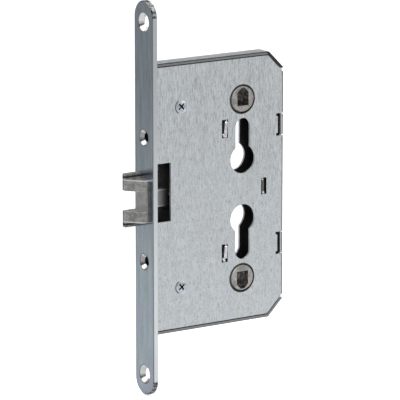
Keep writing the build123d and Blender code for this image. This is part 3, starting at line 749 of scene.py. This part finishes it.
def stake(name, side, x, z, half_x, half_z, lift, lean):
    """The spread end of a tab, in millimetres. A pillow: its half widths follow a rounded
    oblong, across to the power 4 plus up to the power 4 is 1, its height falls off towards
    the rim, it leans by some degrees, and it is closed below the sheet's outer face."""
    rim_fall, foot_depth, facets, rings = 0.5, 1.2, 72, 18
    angle = np.linspace(0, 2 * np.pi, facets, endpoint=False)[None, :]
    share = np.linspace(0.0, 1.0, rings)[:, None]
    square = (np.abs(np.cos(angle)) ** 4 + np.abs(np.sin(angle)) ** 4) ** -0.25
    u = half_x * share * square * np.cos(angle)
    w = half_z * share * square * np.sin(angle)
    turn = math.radians(lean)
    across = u * math.cos(turn) + w * math.sin(turn)
    up = -u * math.sin(turn) + w * math.cos(turn)
    height = lift * (1 - share ** 6) * np.ones_like(angle) - rim_fall * share ** 12
    y = side * (OUT_Y / MM + height)
    rim_y = np.full_like(across[-1:], side * (OUT_Y / MM - foot_depth))
    top = np.stack([x + across, y, z + up], axis=-1)
    foot = np.stack([x + across[-1:], rim_y, z + up[-1:]], axis=-1)
    made = surface(name, np.concatenate([top, foot], axis=0) * MM, caps=(-1,))
    finished(made, "case", "zinc_bright")


def staked_tabs():
    """Spread tab ends in the guide slots and the spacer slot, with a burr at a slot's end.
    Each is a stake: see there for its formula."""
    guide, spacer = GUIDE_Z / MM, SPACER_SLOT_X / MM
    for face, side in (("front", -1), ("back", 1)):
        for word, middle in (("upper", guide), ("lower", -guide)):
            stake(f"{word}_guide_stake_{face}", side, x=53.0, z=middle + 0.9, half_x=1.15,
                  half_z=3.7, lift=0.40, lean=6.0)
            stake(f"{word}_guide_burr_{face}", side, x=51.9, z=middle - 4.1, half_x=0.85,
                  half_z=1.4, lift=0.05, lean=-30.0)
        stake(f"spacer_stake_{face}", side, x=spacer - 0.3, z=-4.0, half_x=0.9,
              half_z=0.8, lift=0.05, lean=25.0)
        stake(f"spacer_burr_{face}", side, x=spacer - 0.9, z=4.1, half_x=0.55,
              half_z=0.7, lift=0.05, lean=-30.0)


# ---- camera, floor and light ----------------------------------------------------------------------
VIEW_AZIMUTH = math.radians(33.15)
VIEW_PITCH = math.radians(12.58)
VIEW_DISTANCE = 2.063
VIEW_TARGET = Vector((0.045, 0.0, 0.0))
VIEW_OFFSET = (-0.0051, -0.0054)
LENS_MM = 315.0
SENSOR_MM = 36.0
# Light: the floor's greys in the metal, its glow to the camera, the room's greys, the lamps
FLOOR_NEAR = 0.78
FLOOR_REAR_LEFT = 0.42
FLOOR_FRONT = 0.42
FLOOR_GLOW = 0.72
ROOM_FRONT_RIGHT = 0.62
ROOM_REAR_LEFT = 0.36
ROOM_OVERHEAD = 0.10
ROOM_SOFTBOX = 1.10
ROOM_GAP = 0.88
# How steeply upwards the room's gap and box are seen: where each starts, is full, fades, ends
ROOM_GAP_HEIGHTS = (0.30, 0.38, 0.54, 0.62)
ROOM_SOFTBOX_HEIGHTS = (0.62, 0.66, 0.82, 0.86)
KEY_WATTS = 5.0
FILL_WATTS = 2.5
KEY_PLACE = (-0.7, -1.0, 1.1)
KEY_SIDE = 0.7
FILL_PLACE = (1.2, -0.9, 0.5)
FILL_SIDE = 1.0
LIGHT_AIM = (0.04, 0.0, 0.0)
# The direction from the camera towards the left rear, as shares of Y and of minus X
REAR_LEFT = (0.84, 0.55)
FLOOR_HALF = 8.0
FLOOR_GAP = 0.5 * MM


def camera():
    """Looks into the door's edge from the front left, a little from above."""
    ahead = Vector((math.sin(VIEW_AZIMUTH) * math.cos(VIEW_PITCH),
                    math.cos(VIEW_AZIMUTH) * math.cos(VIEW_PITCH), -math.sin(VIEW_PITCH)))
    right = Vector((math.cos(VIEW_AZIMUTH), -math.sin(VIEW_AZIMUTH), 0.0))
    up = right.cross(ahead)
    data = bpy.data.cameras.new("camera")
    data.sensor_width = SENSOR_MM
    data.lens = LENS_MM
    data.clip_start, data.clip_end = 0.05, 50.0
    made = bpy.data.objects.new("camera", data)
    aside = right * VIEW_OFFSET[0] + up * VIEW_OFFSET[1]
    made.location = VIEW_TARGET - ahead * VIEW_DISTANCE + aside
    made.rotation_mode = "QUATERNION"
    made.rotation_quaternion = ahead.to_track_quat("-Z", "Y")
    bpy.context.scene.collection.objects.link(made)
    bpy.context.scene.camera = made


def towards_rear_left(t, x, y):
    """How far a place or a direction lies to the left rear."""
    return t.math("SUBTRACT", t.product(y, REAR_LEFT[0]), t.product(x, REAR_LEFT[1]))


def plain_floor():
    """A pale floor. To the camera it is near white, and darker only under the object. The
    metal mirrors it in grey: lighter close by, darker far behind on the left."""
    height = cad_box[0][2] - FLOOR_GAP
    corners = [(FLOOR_HALF * x, FLOOR_HALF * y, height) for x, y in ((-1, -1), (1, -1), (1, 1), (-1, 1))]
    mesh = bpy.data.meshes.new("floor")
    mesh.from_pydata(corners, [], [(0, 1, 2, 3)])
    floor = bpy.data.objects.new("floor", mesh)
    bpy.context.scene.collection.objects.link(floor)
    material = bpy.data.materials.new("floor")
    material.use_nodes = True
    material.node_tree.nodes.clear()
    t = Tree(material.node_tree)
    place, x, y, z = t.here()
    rear_left = towards_rear_left(t, x, y)
    pool = t.ramp(rear_left, 0.05, 0.95, FLOOR_NEAR, FLOOR_REAR_LEFT)
    front = t.ramp(rear_left, -1.0, -0.1, FLOOR_FRONT, FLOOR_NEAR)
    albedo = t.math("MINIMUM", pool, front)
    seen = t.node("ShaderNodeBsdfDiffuse")
    t.join(albedo, seen.inputs["Color"])
    white = t.node("ShaderNodeEmission")
    white.inputs["Strength"].default_value = FLOOR_GLOW
    lit = t.node("ShaderNodeAddShader")
    t.join(seen.outputs[0], lit.inputs[0])
    t.join(white.outputs[0], lit.inputs[1])
    mixed = t.node("ShaderNodeMixShader")
    t.join(t.node("ShaderNodeLightPath").outputs["Is Camera Ray"], mixed.inputs[0])
    t.join(seen.outputs[0], mixed.inputs[1])
    t.join(lit.outputs[0], mixed.inputs[2])
    output = t.node("ShaderNodeOutputMaterial")
    t.join(mixed.outputs[0], output.inputs["Surface"])
    mesh.materials.append(material)


def area_light(name, place, side, power):
    """A square lamp that faces the lock."""
    data = bpy.data.lights.new(name, "AREA")
    data.shape = "RECTANGLE"
    data.size, data.size_y = side, side
    data.energy = power
    made = bpy.data.objects.new(name, data)
    made.location = place
    direction = Vector(LIGHT_AIM) - Vector(place)
    made.rotation_mode = "QUATERNION"
    made.rotation_quaternion = direction.to_track_quat("-Z", "Y")
    bpy.context.scene.collection.objects.link(made)


def studio():
    """A pale room: lighter at the front right than at the left rear, with a bright box high
    up and a dark gap below it. Behind the object the camera sees plain white."""
    world = bpy.data.worlds.new("studio")
    world.use_nodes = True
    world.node_tree.nodes.clear()
    t = Tree(world.node_tree)
    way = t.node("ShaderNodeTexCoord").outputs["Generated"]
    parts = t.node("ShaderNodeSeparateXYZ")
    t.join(way, parts.inputs[0])
    x, y, z = parts.outputs
    around_it = t.ramp(towards_rear_left(t, x, y), -0.9, 0.9, ROOM_FRONT_RIGHT, ROOM_REAR_LEFT)
    overhead = t.ramp(z, 0.25, 0.95, 0.0, ROOM_OVERHEAD)
    gap = t.band(z, *ROOM_GAP_HEIGHTS)
    softbox = t.band(z, *ROOM_SOFTBOX_HEIGHTS)
    shade = t.math("ADD", t.math("ADD", around_it, overhead), t.product(softbox, ROOM_SOFTBOX))
    shade = t.product(shade, t.math("SUBTRACT", 1.0, t.product(gap, ROOM_GAP)))
    room = t.node("ShaderNodeBackground")
    t.join(shade, room.inputs["Color"])
    white = t.node("ShaderNodeBackground")
    white.inputs["Color"].default_value = (1.0, 1.0, 1.0, 1.0)
    mixed = t.node("ShaderNodeMixShader")
    t.join(t.node("ShaderNodeLightPath").outputs["Is Camera Ray"], mixed.inputs[0])
    t.join(room.outputs[0], mixed.inputs[1])
    t.join(white.outputs[0], mixed.inputs[2])
    output = t.node("ShaderNodeOutputWorld")
    t.join(mixed.outputs[0], output.inputs["Surface"])
    bpy.context.scene.world = world
    area_light("key", KEY_PLACE, KEY_SIDE, KEY_WATTS)
    area_light("fill", FILL_PLACE, FILL_SIDE, FILL_WATTS)
    bpy.context.scene.view_settings.view_transform = "Standard"


camera()
plain_floor()
studio()
dress_cad_nodes()
springs()
cover_screws()
staked_tabs()
